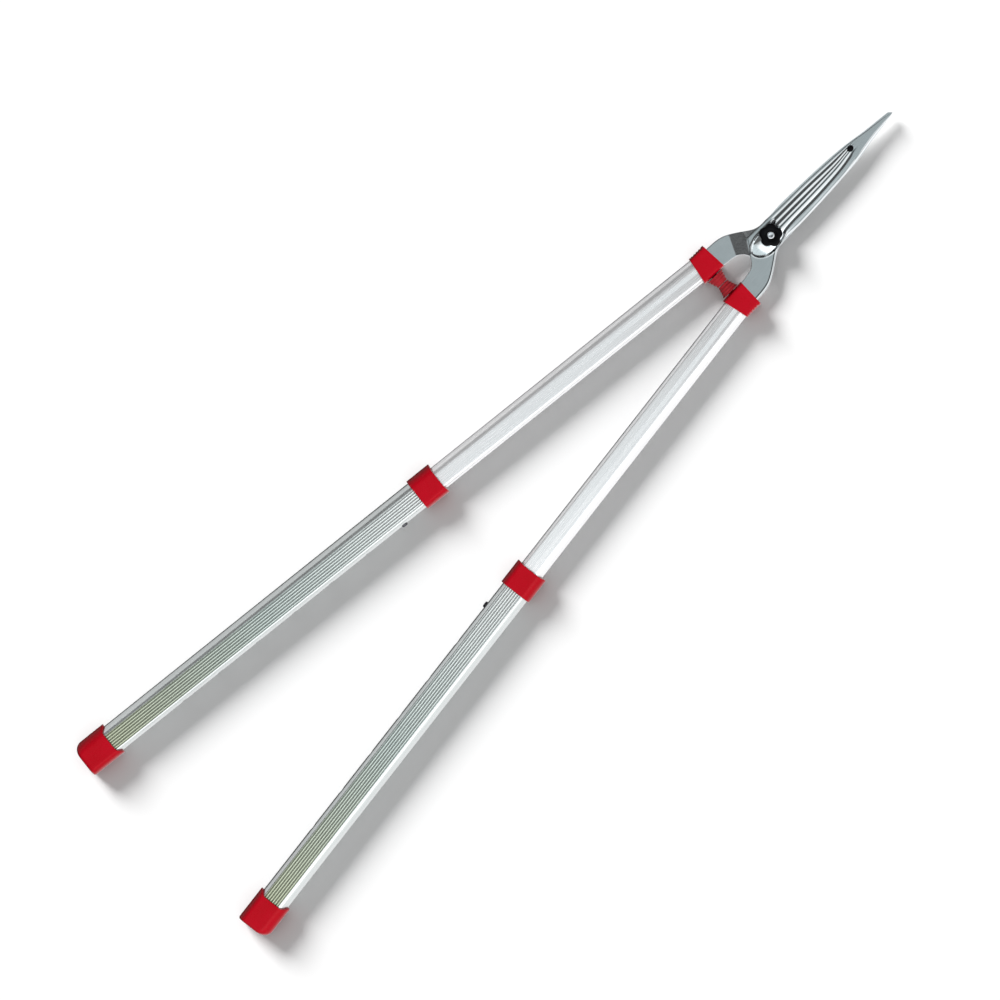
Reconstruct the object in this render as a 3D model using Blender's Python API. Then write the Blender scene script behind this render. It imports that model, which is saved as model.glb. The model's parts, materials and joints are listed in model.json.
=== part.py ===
"""Telescopic hedge shears: two pressed blades on a bolt with a star knob, and two
handles that telescope.

Metres, +Z up. +X runs to the blade tips and +Y to handle 1. The shears lie flat and
closed, with both handles fully extended. Each half is drawn in the same side frame:
its origin is on the pivot and its handle is on the -y side. Half 2, the upper blade,
uses that frame as it is, and half 1 is turned over about X. Along a handle, a
distance s counts from the point ahead of the pivot where the handle axes cross.
"""
import math

import bmesh
import bpy
from mathutils import Matrix, Vector

MM = 0.001
GAP = 0.3 * MM                     # left between pieces that touch

# Layout of the whole tool
TIP_X = 184.5 * MM                 # pivot to blade tip
AXIS_CROSS = 165 * MM              # pivot to the point where the handle axes cross
SPREAD = math.radians(6.68)        # angle of each handle to the centre line
LOCK_PITCH = 50 * MM               # distance between two lock holes
LOCK_COUNT = 7                     # six steps of 50 mm: 300 mm of travel

# Blades
PLATE = 3.0 * MM                   # thickness of the blade plate
RECESS = 1.2 * MM                  # depth of the pressed channel and dish
BEVEL = 3.2 * MM                   # width of the ground edge
EDGE_LAND = 0.4 * MM               # thickness left at the cutting edge
LOWER_EXTRA = 2.0 * MM             # the lower blade is this much wider at its edge
JOGGLE_RUN = 13 * MM               # length of the slope in the lower tang
PIVOT_HOLE = 6.0 * MM              # radius, upper blade
PLUG_AT = Vector((126, 5.1)) * MM  # black plug at the end of the channel
PLUG_HALF = Vector((3.4, 2.8)) * MM
PLUG_LIP = 1.0 * MM                # how far the plug's head reaches past its stem

# Pivot stack, heights from the tool's middle plane
BOLT_R = 3.9 * MM
NECK_HALF = 4.0 * MM
HEAD_R = 8.0 * MM
HEAD_H = 3.3 * MM
BOLT_TOP = 13.4 * MM
BUSH_R = 5.7 * MM
WASHER_R = 9.5 * MM
WASHER_T = 1.2 * MM
WAVE_R = 7.5 * MM
WAVE_T = 0.7 * MM
WAVE_LIFT = 0.25 * MM
KNOB_R = 12.8 * MM                 # at the lobes
KNOB_NOTCH = 1.9 * MM
KNOB_LOBES = 5
KNOB_TURN = math.radians(44)
KNOB_BOTTOM = 4.1 * MM
KNOB_TOP = 13.0 * MM
INSERT_R = 5.5 * MM

# Egg-shaped sections: width across the handle, height, flat zone, and how far the
# flat zone sits to the inner side of the handle
OUTER_TUBE = (32 * MM, 21 * MM, 18 * MM, 2.1 * MM)
OUTER_WALL = 1.4 * MM
INNER_TUBE = (27 * MM, 16 * MM, 14 * MM, 2.4 * MM)
INNER_WALL = 1.2 * MM
GROOVES = 7
GROOVE_PITCH = 2.8 * MM
GROOVE_WIDTH = 1.5 * MM
GROOVE_DEPTH = 0.45 * MM

# Stations along the handle, s
FERRULE_FRONT = 225 * MM
FERRULE_REAR = 249 * MM
INNER_TUBE_START = 232.3 * MM
INNER_TUBE_END = 738 * MM
TONGUE_END = 300 * MM
PIN_AT = 240 * MM
BUTTON_AT = 660.3 * MM
COLLAR_FRONT = 602.3 * MM
COLLAR_REAR = 630.5 * MM
OUTER_TUBE_START = 607 * MM
CAP_MOUTH = 1050 * MM
CAP_END = 1085 * MM
OUTER_TUBE_END = CAP_END - 5 * MM

# Plastic pieces on the handle
TONGUE_HALF = 9.5 * MM
SLEEVE_LENGTH = 62 * MM
PIN_R = 2.0 * MM
FERRULE_W = 31.6 * MM
FERRULE_H = 21.6 * MM
FERRULE_FLAT = 22 * MM
FERRULE_SLANTS = (-0.158, 0.092)   # of the front and the rear end
COLLAR = (37 * MM, 26.5 * MM, 20 * MM, 2.1 * MM)
COLLAR_EAR = 1.7 * MM
CAP = (38 * MM, 27 * MM, 20 * MM, 2.1 * MM)
CAP_EAR = 6 * MM
CAP_CORNER_OUT = 11 * MM
CAP_CORNER_IN = 2.5 * MM
CAP_EDGE = 4 * MM
BUTTON_R = 3.8 * MM
BUTTON_TIP = 18.3 * MM             # distance of the button's tip from the handle axis
BUMPER_X = -72.2 * MM
BUMPER_BASE = 12.6 * MM            # |y| of the ferrule face that carries the bumper

MID_Z = CAP[1] / 2
REAR_REACH = ((CAP_END - CAP_CORNER_IN) * math.cos(SPREAD) + CAP_CORNER_IN - AXIS_CROSS
              + (CAP[0] / 2 - CAP_CORNER_IN) * math.sin(SPREAD))
PIVOT_X = (REAR_REACH - TIP_X) / 2
ARC_STEPS = 5                      # facets on a quarter of an oval
ROUND_STEPS = 28
HOLE_STEPS = 12
SMALL_STEPS = 16

COLOURS = {
    "blade_steel": ((0.60, 0.64, 0.67), 0.22, 1.0),
    "pivot_steel": ((0.72, 0.73, 0.75), 0.15, 1.0),
    "spring_steel": ((0.45, 0.46, 0.48), 0.30, 1.0),
    "brass": ((0.72, 0.55, 0.25), 0.30, 1.0),
    "outer_aluminium": ((0.72, 0.74, 0.73), 0.35, 1.0),
    "inner_aluminium": ((0.80, 0.81, 0.83), 0.28, 1.0),
    "red_plastic": ((0.62, 0.01, 0.03), 0.30, 0.0),
    "red_rubber": ((0.40, 0.01, 0.02), 0.55, 0.0),
    "black_plastic": ((0.012, 0.012, 0.013), 0.22, 0.0),
    "sleeve_plastic": ((0.06, 0.06, 0.065), 0.50, 0.0),
}


# ---------------------------------------------------------------- mesh helpers

def skin(rings, joined=False):
    """Closed body through rings of points. Joined rings go round like a tyre."""
    bm = bmesh.new()
    loops = [[bm.verts.new(point) for point in ring] for ring in rings]
    pairs = list(zip(loops, loops[1:]))
    if joined:
        pairs.append((loops[-1], loops[0]))
    else:
        bm.faces.new(loops[0])
        bm.faces.new(loops[-1])
    for first, second in pairs:
        for i in range(len(first)):
            j = (i + 1) % len(first)
            bm.faces.new((first[i], first[j], second[j], second[i]))
    bmesh.ops.recalc_face_normals(bm, faces=bm.faces)
    if bm.calc_volume(signed=True) < 0:
        bmesh.ops.reverse_faces(bm, faces=bm.faces)
    return bm


def prism(outline, low, high):
    """Upright body from a flat outline."""
    return skin([[(x, y, z) for x, y in outline] for z in (low, high)])


def turned(profile, joined=False, steps=ROUND_STEPS, shape=None):
    """Body turned about Z through (radius, height) stations.

    shape, where given, returns the radius at an angle for a station's radius.
    """
    rings = []
    for number, (radius, height) in enumerate(profile):
        ring = []
        for i in range(steps):
            angle = 2 * math.pi * i / steps
            r = shape(number, radius, angle) if shape else radius
            ring.append((r * math.cos(angle), r * math.sin(angle), height))
        rings.append(ring)
    return skin(rings, joined)


def smooth_curve(points, steps=3):
    """Catmull-Rom curve through the points, both ends included."""
    padded = [points[0]] + list(points) + [points[-1]]
    curve = []
    for k in range(1, len(padded) - 2):
        p0, p1, p2, p3 = (Vector(p) for p in padded[k - 1:k + 3])
        for i in range(steps):
            t = i / steps
            curve.append(0.5 * (2 * p1 + (p2 - p0) * t
                                + (2 * p0 - 5 * p1 + 4 * p2 - p3) * t * t
                                + (3 * p1 - p0 - 3 * p2 + p3) * t ** 3))
    curve.append(Vector(points[-1]))
    return curve


def mm_curve(points, steps=3):
    return smooth_curve([Vector(p) * MM for p in points], steps)


def oval(width, height, flat, shift=0.0, depth=None):
    """Flat-sided oval as (across, up) points, with grooves where depth is given."""
    half = height / 2
    inner = width / 2 - shift - flat / 2
    outer = width / 2 + shift - flat / 2
    upper = []
    for i in range(ARC_STEPS + 1):
        angle = math.pi / 2 * i / ARC_STEPS
        upper.append((shift + flat / 2 + inner * math.cos(angle), half * math.sin(angle)))
    if depth is not None:
        for i in range(GROOVES):
            centre = shift + GROOVE_PITCH * ((GROOVES - 1) / 2 - i)
            for part, sunk in ((0.5, 0), (0.0, depth), (-0.5, 0)):
                upper.append((centre + GROOVE_WIDTH * part, half - sunk))
    for i in range(ARC_STEPS + 1):
        angle = math.pi / 2 * (1 + i / ARC_STEPS)
        upper.append((shift - flat / 2 + outer * math.cos(angle), half * math.sin(angle)))
    return upper + [(y, -z) for y, z in upper[-2:0:-1]]


def station(section, s, slant=0.0, shift=0.0):
    """Ring of a section at distance s, in the handle frame."""
    return [(-(s + slant * y), y + shift, z) for y, z in section]


def shrunk(section_size, wall):
    """The section's sizes one wall further in."""
    width, height, flat, shift = section_size
    return (width - 2 * wall, height - 2 * wall, flat, shift)


def tube(size, wall, start, end, depth=None):
    outside = oval(*size, depth=depth)
    inside = oval(*shrunk(size, wall), depth=None if depth is None else 0.0)
    return skin([station(outside, start), station(outside, end),
                 station(inside, end), station(inside, start)], joined=True)


# -------------------------------------------------------------- object helpers

def clear_scene():
    for obj in list(bpy.data.objects):
        bpy.data.objects.remove(obj, do_unlink=True)


def finish_material(name):
    colour, roughness, metallic = COLOURS[name]
    material = bpy.data.materials.new(name)
    material.use_nodes = True
    shader = material.node_tree.nodes["Principled BSDF"]
    shader.inputs["Base Color"].default_value = (*colour, 1.0)
    shader.inputs["Roughness"].default_value = roughness
    shader.inputs["Metallic"].default_value = metallic
    return material


def mesh_of(name, bm, smooth_angle=None):
    mesh = bpy.data.meshes.new(name)
    bm.to_mesh(mesh)
    bm.free()
    if smooth_angle:
        mesh.shade_smooth()
        mesh.set_sharp_from_angle(angle=math.radians(smooth_angle))
    return mesh


def place(name, mesh, material, parent, location=(0, 0, 0)):
    """One object of the part, with a material of its own."""
    obj = bpy.data.objects.new(name, mesh)
    bpy.context.scene.collection.objects.link(obj)
    obj.parent = parent
    obj.location = location
    if not mesh.materials:
        mesh.materials.append(None)
    obj.material_slots[0].link = "OBJECT"
    obj.material_slots[0].material = finish_material(material)
    return obj


def empty(name, parent=None, location=(0, 0, 0), rotation=(0, 0, 0)):
    obj = bpy.data.objects.new(name, None)
    bpy.context.scene.collection.objects.link(obj)
    obj.parent = parent
    obj.location = location
    obj.rotation_euler = rotation
    return obj


def cut(obj, bm, label):
    """Take a closed body, given in the object's own frame, out of the object."""
    cutter = bpy.data.objects.new(obj.name + "_" + label, mesh_of(label, bm))
    bpy.context.scene.collection.objects.link(cutter)
    cutter.parent = obj
    cutter.hide_render = True
    cutter.display_type = "WIRE"
    modifier = obj.modifiers.new(label, "BOOLEAN")
    modifier.operation = "DIFFERENCE"
    modifier.object = cutter
    return cutter


def rod(radius, start, end, steps=HOLE_STEPS):
    """Straight round body between two points."""
    bm = turned([(radius, 0), (radius, 1)], steps=steps)
    way = Vector(end) - Vector(start)
    turn = way.to_track_quat("Z", "Y").to_matrix().to_4x4()
    length = Matrix.Diagonal((1, 1, way.length, 1))
    bm.transform(Matrix.Translation(start) @ turn @ length)
    return bm


def merged(bodies):
    """One mesh of several bodies, for a cutter with many teeth."""
    whole = bmesh.new()
    for body in bodies:
        mesh = bpy.data.meshes.new("body")
        body.to_mesh(mesh)
        body.free()
        whole.from_mesh(mesh)
        bpy.data.meshes.remove(mesh)
    return whole


# ----------------------------------------------------------------- blade halves

def on_handle(s, outward=0.0):
    """Point of the handle in the side frame."""
    x = AXIS_CROSS - s * math.cos(SPREAD) + outward * math.sin(SPREAD)
    y = -s * math.sin(SPREAD) - outward * math.cos(SPREAD)
    return Vector((x, y))


def edge_curve(extra):
    """Cutting edge from the hub to the tip."""
    points = [(15, -13.3), (32, -14.1), (64, -13.2), (96, -11.7),
              (122.5, -9.3), (149, -5.3), (169.3, -2.9), (183.6, -0.9)]
    widened = [(x, y - extra / MM * min(1, (x - 8) / 14)) for x, y in points]
    return mm_curve(widened)


def blade_outline(extra):
    spine = mm_curve([(184.5, 0.3), (169.3, 3.1), (149, 5.8), (125.7, 9.6), (96, 11.7),
                      (64, 13.3), (32, 13.8), (-10.7, 15.2), (-19.2, 15.0)])
    throat = mm_curve([(-24.5, 7.2), (-30.7, 0.2), (-34.1, -5.3), (-39.4, -9.6),
                       (-46.6, -11.6), (-57.7, -13.1)])
    shoulder = INNER_TUBE_START - GAP
    tongue = [on_handle(shoulder, -12.6 * MM), on_handle(shoulder, -TONGUE_HALF),
              on_handle(TONGUE_END, -TONGUE_HALF), on_handle(TONGUE_END, TONGUE_HALF),
              on_handle(shoulder, TONGUE_HALF), on_handle(shoulder, 11.4 * MM)]
    flare = mm_curve([(-57.7, -38.4), (-45.7, -37.5), (-36.8, -35.4), (-28, -30.9),
                      (-19.1, -25.1), (-10.2, -19), (-1.4, -14.9), (7.6, -13.6)])
    return spine + throat + tongue + flare + edge_curve(extra)


def channel_outline():
    """Dish round the pivot that runs out into the channel along the blade."""
    return mm_curve([(130.3, 5.0), (128.7, 7.8), (125, 8.9), (118, 8.4), (96, 8.2),
                     (64, 9.1), (32, 9.6), (16, 9.6), (-8.5, 9.6), (-16, 8.5),
                     (-23.4, 5.3), (-27.2, 0), (-25.2, -6.4), (-19.2, -11.3),
                     (-10.7, -13.6), (0, -13.2), (7.5, -11.3), (13.8, -8.5), (20, -6.4),
                     (32, -5.9), (64, -5.3), (96, -3.2), (118, 0.7), (124, 1.4),
                     (128.7, 2.3)], 2)


def bead_outline():
    """Raised bead in the middle of the channel."""
    middle = mm_curve([(15, 1.9), (32, 1.9), (64, 1.9), (96, 2.5), (122.5, 4.8)], 3)
    half = 1.7 * MM
    return [(x, y + half) for x, y in reversed(middle)] + [(x, y - half) for x, y in middle]


def bevel_cutter(extra):
    """Wedge that grinds the cutting edge."""
    top = PLATE + GAP
    run = BEVEL + 2 * MM
    low = top - run * (PLATE - EDGE_LAND) / BEVEL
    return skin([[(x, y + BEVEL, top), (x, y + BEVEL - run, low), (x, y - 4 * MM, top)]
                 for x, y in edge_curve(extra)])


def turns(steps):
    return [2 * math.pi * i / steps for i in range(steps)]


def ellipse_prism(centre, half, low, high):
    return prism([(centre.x + half.x * math.cos(angle), centre.y + half.y * math.sin(angle))
                  for angle in turns(SMALL_STEPS)], low, high)


def joggled(bm, step):
    """Drop the tang by one step over a straight slope."""
    corner = Vector((-29.8, -33.9, 0)) * MM
    along = Vector((-11.0, 23.0, 0)).normalized()
    across = Vector((along.y, -along.x, 0))
    for offset in (0.0, JOGGLE_RUN):
        bmesh.ops.bisect_plane(bm, geom=bm.verts[:] + bm.edges[:] + bm.faces[:],
                               plane_co=corner + across * offset, plane_no=across)
    for vert in bm.verts:
        reach = (vert.co - corner).dot(across)
        vert.co.z -= step * min(1, max(0, 1 - reach / JOGGLE_RUN))
    return bm


def blade(name, side, level, extra, step):
    """One pressed blade with its tang; its flat face is at height level."""
    bm = joggled(prism(blade_outline(extra), 0, PLATE), step)
    obj = place(name, mesh_of(name, bm), "blade_steel", side, (0, 0, level))
    floor = PLATE - RECESS
    recess = cut(obj, prism(channel_outline(), floor, PLATE + GAP), "recess")
    # The bead is taken out of the cutter, so that it stands in the channel.
    cut(recess, prism(bead_outline(), floor - GAP, PLATE - RECESS / 3), "bead")
    cut(obj, bevel_cutter(extra), "bevel")
    hole = PLUG_HALF - Vector((1, 1)) * (PLUG_LIP - GAP)
    cut(obj, ellipse_prism(PLUG_AT, hole, -GAP, PLATE), "plug_hole")
    pin = on_handle(PIN_AT)
    low = Vector((pin.x, pin.y, -step - MM))
    cut(obj, rod(PIN_R + GAP, low, low + Vector((0, 0, 6 * MM))), "pin_hole")
    return obj


def blade_plug(name, side, level):
    """Black plug in the hole at the end of the channel."""
    stem = PLUG_HALF - Vector((1, 1)) * PLUG_LIP
    seat = PLATE - RECESS + GAP
    rings = []
    for half, height in ((stem, GAP), (stem, seat), (PLUG_HALF, seat),
                         (PLUG_HALF, seat + 0.5 * MM), (PLUG_HALF * 0.8, seat + 0.8 * MM)):
        rings.append([(half.x * math.cos(angle), half.y * math.sin(angle), height)
                      for angle in turns(SMALL_STEPS)])
    mesh = mesh_of(name, skin(rings), 40)
    place(name, mesh, "black_plastic", side, (PLUG_AT.x, PLUG_AT.y, level))


def blades(side_1, side_2):
    upper_level = -PLATE / 2
    lower_level = PLATE / 2 + GAP
    upper = blade("upper_blade", side_2, upper_level, 0.0, 0.0)
    cut(upper, rod(PIVOT_HOLE, (0, 0, -MM), (0, 0, PLATE + MM), ROUND_STEPS), "pivot_hole")
    lower = blade("lower_blade", side_1, lower_level, LOWER_EXTRA, PLATE + GAP)
    half = NECK_HALF + GAP
    square = [(half, -half), (half, half), (-half, half), (-half, -half)]
    cut(lower, prism(square, -MM, PLATE + MM), "neck_hole")
    blade_plug("upper_blade_plug", side_2, upper_level)
    blade_plug("lower_blade_plug", side_1, lower_level)


# ------------------------------------------------------------------ pivot stack

def neck_shape(neck_stations):
    """Square outline on the stations of the neck, round on the others."""
    def shape(number, radius, angle):
        if number not in neck_stations:
            return radius
        return radius / max(abs(math.cos(angle)), abs(math.sin(angle)))
    return shape


def knob_shape(lobed_stations):
    def shape(number, radius, angle):
        if number not in lobed_stations:
            return radius
        wave = 0.5 - 0.5 * math.cos(KNOB_LOBES * (angle - KNOB_TURN))
        return radius - KNOB_NOTCH * wave ** 0.8
    return shape


def pivot_stack(pivot):
    head_top = -(PLATE / 2 + GAP + PLATE - RECESS) - GAP
    neck_top = -PLATE / 2 - GAP - 0.2 * MM
    bolt = turned([(HEAD_R * 0.55, head_top - HEAD_H), (HEAD_R * 0.9, head_top - HEAD_H * 0.8),
                   (HEAD_R, head_top - HEAD_H * 0.4), (HEAD_R, head_top),
                   (NECK_HALF, head_top), (NECK_HALF, neck_top), (BOLT_R, neck_top),
                   (BOLT_R, BOLT_TOP - 0.6 * MM), (BOLT_R - 0.6 * MM, BOLT_TOP)],
                  shape=neck_shape((4, 5)))
    place("pivot_bolt", mesh_of("pivot_bolt", bolt, 35), "pivot_steel", pivot)

    dish = PLATE / 2 - RECESS
    bush = turned([(BUSH_R, -PLATE / 2), (BUSH_R, dish + GAP),
                   (BOLT_R + GAP, dish + GAP), (BOLT_R + GAP, -PLATE / 2)], joined=True)
    place("pivot_bush", mesh_of("pivot_bush", bush, 35), "brass", pivot)

    low = dish + 2 * GAP
    washer = turned([(WASHER_R, low), (WASHER_R, low + WASHER_T),
                     (BOLT_R + GAP, low + WASHER_T), (BOLT_R + GAP, low)], joined=True)
    place("flat_washer", mesh_of("flat_washer", washer, 35), "pivot_steel", pivot)

    low += WASHER_T + GAP + WAVE_LIFT
    wave = turned([(WAVE_R, low), (WAVE_R, low + WAVE_T),
                   (BOLT_R + 2 * GAP, low + WAVE_T), (BOLT_R + 2 * GAP, low)], joined=True)
    for vert in wave.verts:
        vert.co.z += WAVE_LIFT * math.cos(3 * math.atan2(vert.co.y, vert.co.x))
    place("wave_washer", mesh_of("wave_washer", wave, 35), "spring_steel", pivot)

    pocket_top = KNOB_TOP - 2.2 * MM
    pocket = INSERT_R + GAP
    bore = BOLT_R + GAP
    knob = turned([(KNOB_R - 2.2 * MM, KNOB_BOTTOM), (KNOB_R, KNOB_BOTTOM + 1.6 * MM),
                   (KNOB_R, KNOB_TOP - 1.8 * MM), (KNOB_R - 0.7 * MM, KNOB_TOP - 0.6 * MM),
                   (KNOB_R - 2.2 * MM, KNOB_TOP), (bore, KNOB_TOP), (bore, pocket_top),
                   (pocket, pocket_top), (pocket, KNOB_BOTTOM)],
                  joined=True, steps=40, shape=knob_shape(range(5)))
    place("star_knob", mesh_of("star_knob", knob, 35), "black_plastic", pivot)

    insert = turned([(INSERT_R, KNOB_BOTTOM + GAP), (INSERT_R, pocket_top - GAP),
                     (bore, pocket_top - GAP), (bore, KNOB_BOTTOM + GAP)], joined=True)
    place("knob_insert", mesh_of("knob_insert", insert, 35), "brass", pivot)


# ----------------------------------------------------------------- handle pieces

def tang_sleeve():
    """Plastic block that holds the tang in the front of the inner tube."""
    outside = oval(*shrunk(INNER_TUBE, INNER_WALL + GAP))
    slot = oval(2 * (TONGUE_HALF + GAP), PLATE + 2 * GAP, 2 * (TONGUE_HALF - 0.2 * MM))
    start = INNER_TUBE_START + GAP
    end = start + SLEEVE_LENGTH
    return skin([station(outside, start), station(outside, end),
                 station(slot, end), station(slot, start)], joined=True)


def ferrule():
    """Cap with a slot for the tang; both its ends are cut at a slant."""
    front_out = oval(FERRULE_W, FERRULE_H - 1 * MM, FERRULE_FLAT)
    rear_out = oval(FERRULE_W, FERRULE_H, FERRULE_FLAT)
    bore = oval(*shrunk(INNER_TUBE, -GAP))
    slot = oval(25.7 * MM, PLATE + 2 * GAP, 25 * MM)
    wall = INNER_TUBE_START - GAP
    front_slant, rear_slant = FERRULE_SLANTS
    return skin([station(front_out, FERRULE_FRONT, front_slant, -1.9 * MM),
                 station(rear_out, FERRULE_REAR, rear_slant, 0.4 * MM),
                 station(bore, FERRULE_REAR, rear_slant), station(bore, wall),
                 station(slot, wall, 0.0, 0.35 * MM),
                 station(slot, FERRULE_FRONT, front_slant, 0.35 * MM)], joined=True)


def bumper():
    """Ringed rubber stop, turned about y, with a stud for the ferrule."""
    profile = [(3.4, 13.6), (3.4, 11.8), (10.2, 11.8), (10.2, 10.5), (8.9, 9.6),
               (9.3, 7.9), (8.0, 6.6), (8.2, 4.6), (6.9, 3.2), (6.9, 0.4), (5.9, 0.15)]
    bm = turned([(radius * MM, -y * MM) for radius, y in profile], steps=18)
    flatten = Matrix.Diagonal((1, 0.86, 1, 1))
    bm.transform(Matrix.Rotation(-math.pi / 2, 4, "X") @ flatten)
    return bm


def guide_plug():
    """Plastic guide on the hidden end of the inner tube."""
    stem = oval(*shrunk(INNER_TUBE, INNER_WALL + GAP))
    flange = oval(*shrunk(OUTER_TUBE, OUTER_WALL + GAP))
    bore = oval(18 * MM, 8 * MM, 12 * MM)
    start = INNER_TUBE_END - 16 * MM
    shoulder = INNER_TUBE_END + GAP
    end = shoulder + 5 * MM
    return skin([station(stem, start), station(stem, shoulder), station(flange, shoulder),
                 station(flange, end), station(bore, end), station(bore, start)], joined=True)


def snap_button():
    """Domed button with a flange, turned about y, its origin on the handle axis."""
    stem_end = BUTTON_TIP - 2.0 * MM
    profile = [(4.8 * MM, 9.3 * MM), (4.8 * MM, 10.3 * MM), (BUTTON_R, 10.3 * MM)]
    for i in range(4):
        angle = math.pi / 2 * i / 4
        profile.append((BUTTON_R * math.cos(angle), stem_end + 2.0 * MM * math.sin(angle)))
    profile.append((0.4 * MM, BUTTON_TIP))
    bm = turned([(radius, -y) for radius, y in profile], steps=SMALL_STEPS)
    bm.transform(Matrix.Rotation(math.pi / 2, 4, "X"))
    return bm


def button_spring():
    """Bent leaf spring: one arm under the button, one on the far wall of the tube."""
    middle = mm_curve([(-668, 8.55), (-655, 8.55), (-640, 8.0), (-628, 5.6), (-622, 0),
                       (-628, -5.6), (-640, -8.2), (-656, -9.8), (-672, -10.8)], 3)
    half = 0.35 * MM
    left, right = [], []
    for i, point in enumerate(middle):
        before = middle[max(i - 1, 0)]
        after = middle[min(i + 1, len(middle) - 1)]
        way = (after - before).normalized()
        normal = Vector((-way.y, way.x))
        left.append(point + normal * half)
        right.append(point - normal * half)
    return prism(left + right[::-1], -3.5 * MM, 3.5 * MM)


def eared(section, s, ear):
    """Ring whose narrow sides reach one ear further towards the blades."""
    widest = max(y for y, z in section)
    ring = []
    for y, z in section:
        share = max(0.0, (abs(y) / widest - 0.5) / 0.5)
        ring.append((-(s - ear * share ** 2), y, z))
    return ring


def collar():
    outside = oval(*COLLAR)
    nose = oval(*shrunk(COLLAR, 1.2 * MM))
    mouth = oval(*shrunk(INNER_TUBE, -GAP))
    bore = oval(*shrunk(OUTER_TUBE, -GAP))
    seat = OUTER_TUBE_START - GAP
    return skin([station(outside, COLLAR_REAR), eared(outside, COLLAR_FRONT + 1.4 * MM, COLLAR_EAR),
                 eared(nose, COLLAR_FRONT, COLLAR_EAR), station(mouth, COLLAR_FRONT + 0.4 * MM),
                 station(mouth, seat), station(bore, seat), station(bore, COLLAR_REAR)],
                joined=True)


def rounding(s, radius):
    """How far a side has drawn in at s, for a corner of this radius at the cap's end."""
    into = s - (CAP_END - radius)
    if into <= 0:
        return 0.0
    return radius - math.sqrt(max(0.0, radius * radius - into * into))


def end_cap():
    """Closed cap with a big round on its outer corner and a small one inside."""
    section = oval(*CAP)
    bore = oval(*shrunk(OUTER_TUBE, -GAP))
    rings = [station(bore, OUTER_TUBE_END + GAP), eared(bore, CAP_MOUTH, CAP_EAR),
             eared(section, CAP_MOUTH, CAP_EAR)]
    for back in (11, 7.5, 4.5, 2.5, 1.2, 0.4, 0):
        s = CAP_END - back * MM
        drawn_out = 1 - rounding(s, CAP_CORNER_OUT) / (CAP[0] / 2)
        drawn_in = 1 - rounding(s, CAP_CORNER_IN) / (CAP[0] / 2)
        lower = 1 - rounding(s, CAP_EDGE) / (CAP[1] / 2)
        rings.append([(-s, y * (drawn_in if y > 0 else drawn_out), z * lower)
                      for y, z in section])
    return skin(rings)


def handle(number, side):
    """All the pieces of one handle."""
    tag = "_" + str(number)
    axis = empty("handle_axis" + tag, side, (AXIS_CROSS, 0, 0), (0, 0, SPREAD))
    pin_low = Vector((-PIN_AT, 0, -INNER_TUBE[1]))
    pin_high = Vector((-PIN_AT, 0, INNER_TUBE[1]))

    sleeve = place("tang_sleeve" + tag, mesh_of("sleeve", tang_sleeve(), 35),
                   "sleeve_plastic", axis)
    cut(sleeve, rod(PIN_R + GAP, pin_low, pin_high), "pin_hole")

    reach = INNER_TUBE[1] / 2 - 0.1 * MM
    pin = rod(PIN_R, (-PIN_AT, 0, -reach), (-PIN_AT, 0, reach))
    place("tang_pin" + tag, mesh_of("pin", pin, 35), "pivot_steel", axis)

    cap = place("ferrule" + tag, mesh_of("ferrule", ferrule(), 35), "red_plastic", axis)
    foot = on_handle(0)
    base = Vector((BUMPER_X - foot.x, -BUMPER_BASE - foot.y, 0))
    base.rotate(Matrix.Rotation(-SPREAD, 3, "Z"))
    inward = Vector((math.sin(SPREAD), math.cos(SPREAD), 0))
    cut(cap, rod(3.4 * MM + GAP, base - inward * 3.2 * MM, base + inward * 3 * MM), "stud_hole")
    place("bumper" + tag, mesh_of("bumper", bumper(), 35), "red_rubber", side,
          (BUMPER_X, 0, 0))

    inner = place("inner_tube" + tag,
                  mesh_of("inner_tube", tube(INNER_TUBE, INNER_WALL, INNER_TUBE_START,
                                             INNER_TUBE_END), 35), "inner_aluminium", axis)
    hole = rod(BUTTON_R + GAP, (-BUTTON_AT, 8 * MM, 0), (-BUTTON_AT, 20 * MM, 0))
    cut(inner, merged([rod(PIN_R + GAP, pin_low, pin_high), hole]), "holes")
    place("guide_plug" + tag, mesh_of("guide", guide_plug(), 35), "sleeve_plastic", axis)
    place("snap_button" + tag, mesh_of("button", snap_button(), 35), "pivot_steel", axis,
          (-BUTTON_AT, 0, 0))
    place("button_spring" + tag, mesh_of("spring", button_spring(), 35), "spring_steel", axis)

    outer = place("outer_tube" + tag,
                  mesh_of("outer_tube", tube(OUTER_TUBE, OUTER_WALL, OUTER_TUBE_START,
                                             OUTER_TUBE_END, GROOVE_DEPTH), 35),
                  "outer_aluminium", axis)
    holes = []
    for i in range(LOCK_COUNT):
        x = -(BUTTON_AT + i * LOCK_PITCH)
        holes.append(rod(BUTTON_R + GAP, (x, 10 * MM, 0), (x, 20 * MM, 0)))
    cut(outer, merged(holes), "lock_holes")
    place("collar" + tag, mesh_of("collar", collar(), 35), "red_plastic", axis)
    place("end_cap" + tag, mesh_of("end_cap", end_cap(), 35), "red_plastic", axis)


def main():
    clear_scene()
    pivot = empty("pivot", None, (PIVOT_X, 0, MID_Z))
    side_2 = empty("side_2", pivot)
    side_1 = empty("side_1", pivot, (0, 0, 0), (math.pi, 0, 0))
    blades(side_1, side_2)
    pivot_stack(pivot)
    handle(1, side_1)
    handle(2, side_2)
    bpy.context.view_layer.update()


main()
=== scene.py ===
"""Looks of the telescopic hedge shears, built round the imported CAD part.

Sizes are in millimetres and become metres in loft. Each half of the tool is drawn in
its side frame: the origin is on the pivot, x runs to the blade tip and the handle is
on the -y side. Half 2 uses the frame as it is and half 1 is turned over about X. Each
handle has a frame of its own, in which x = -s runs along the handle and +y points to
the other handle.
"""

import json
import math

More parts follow.
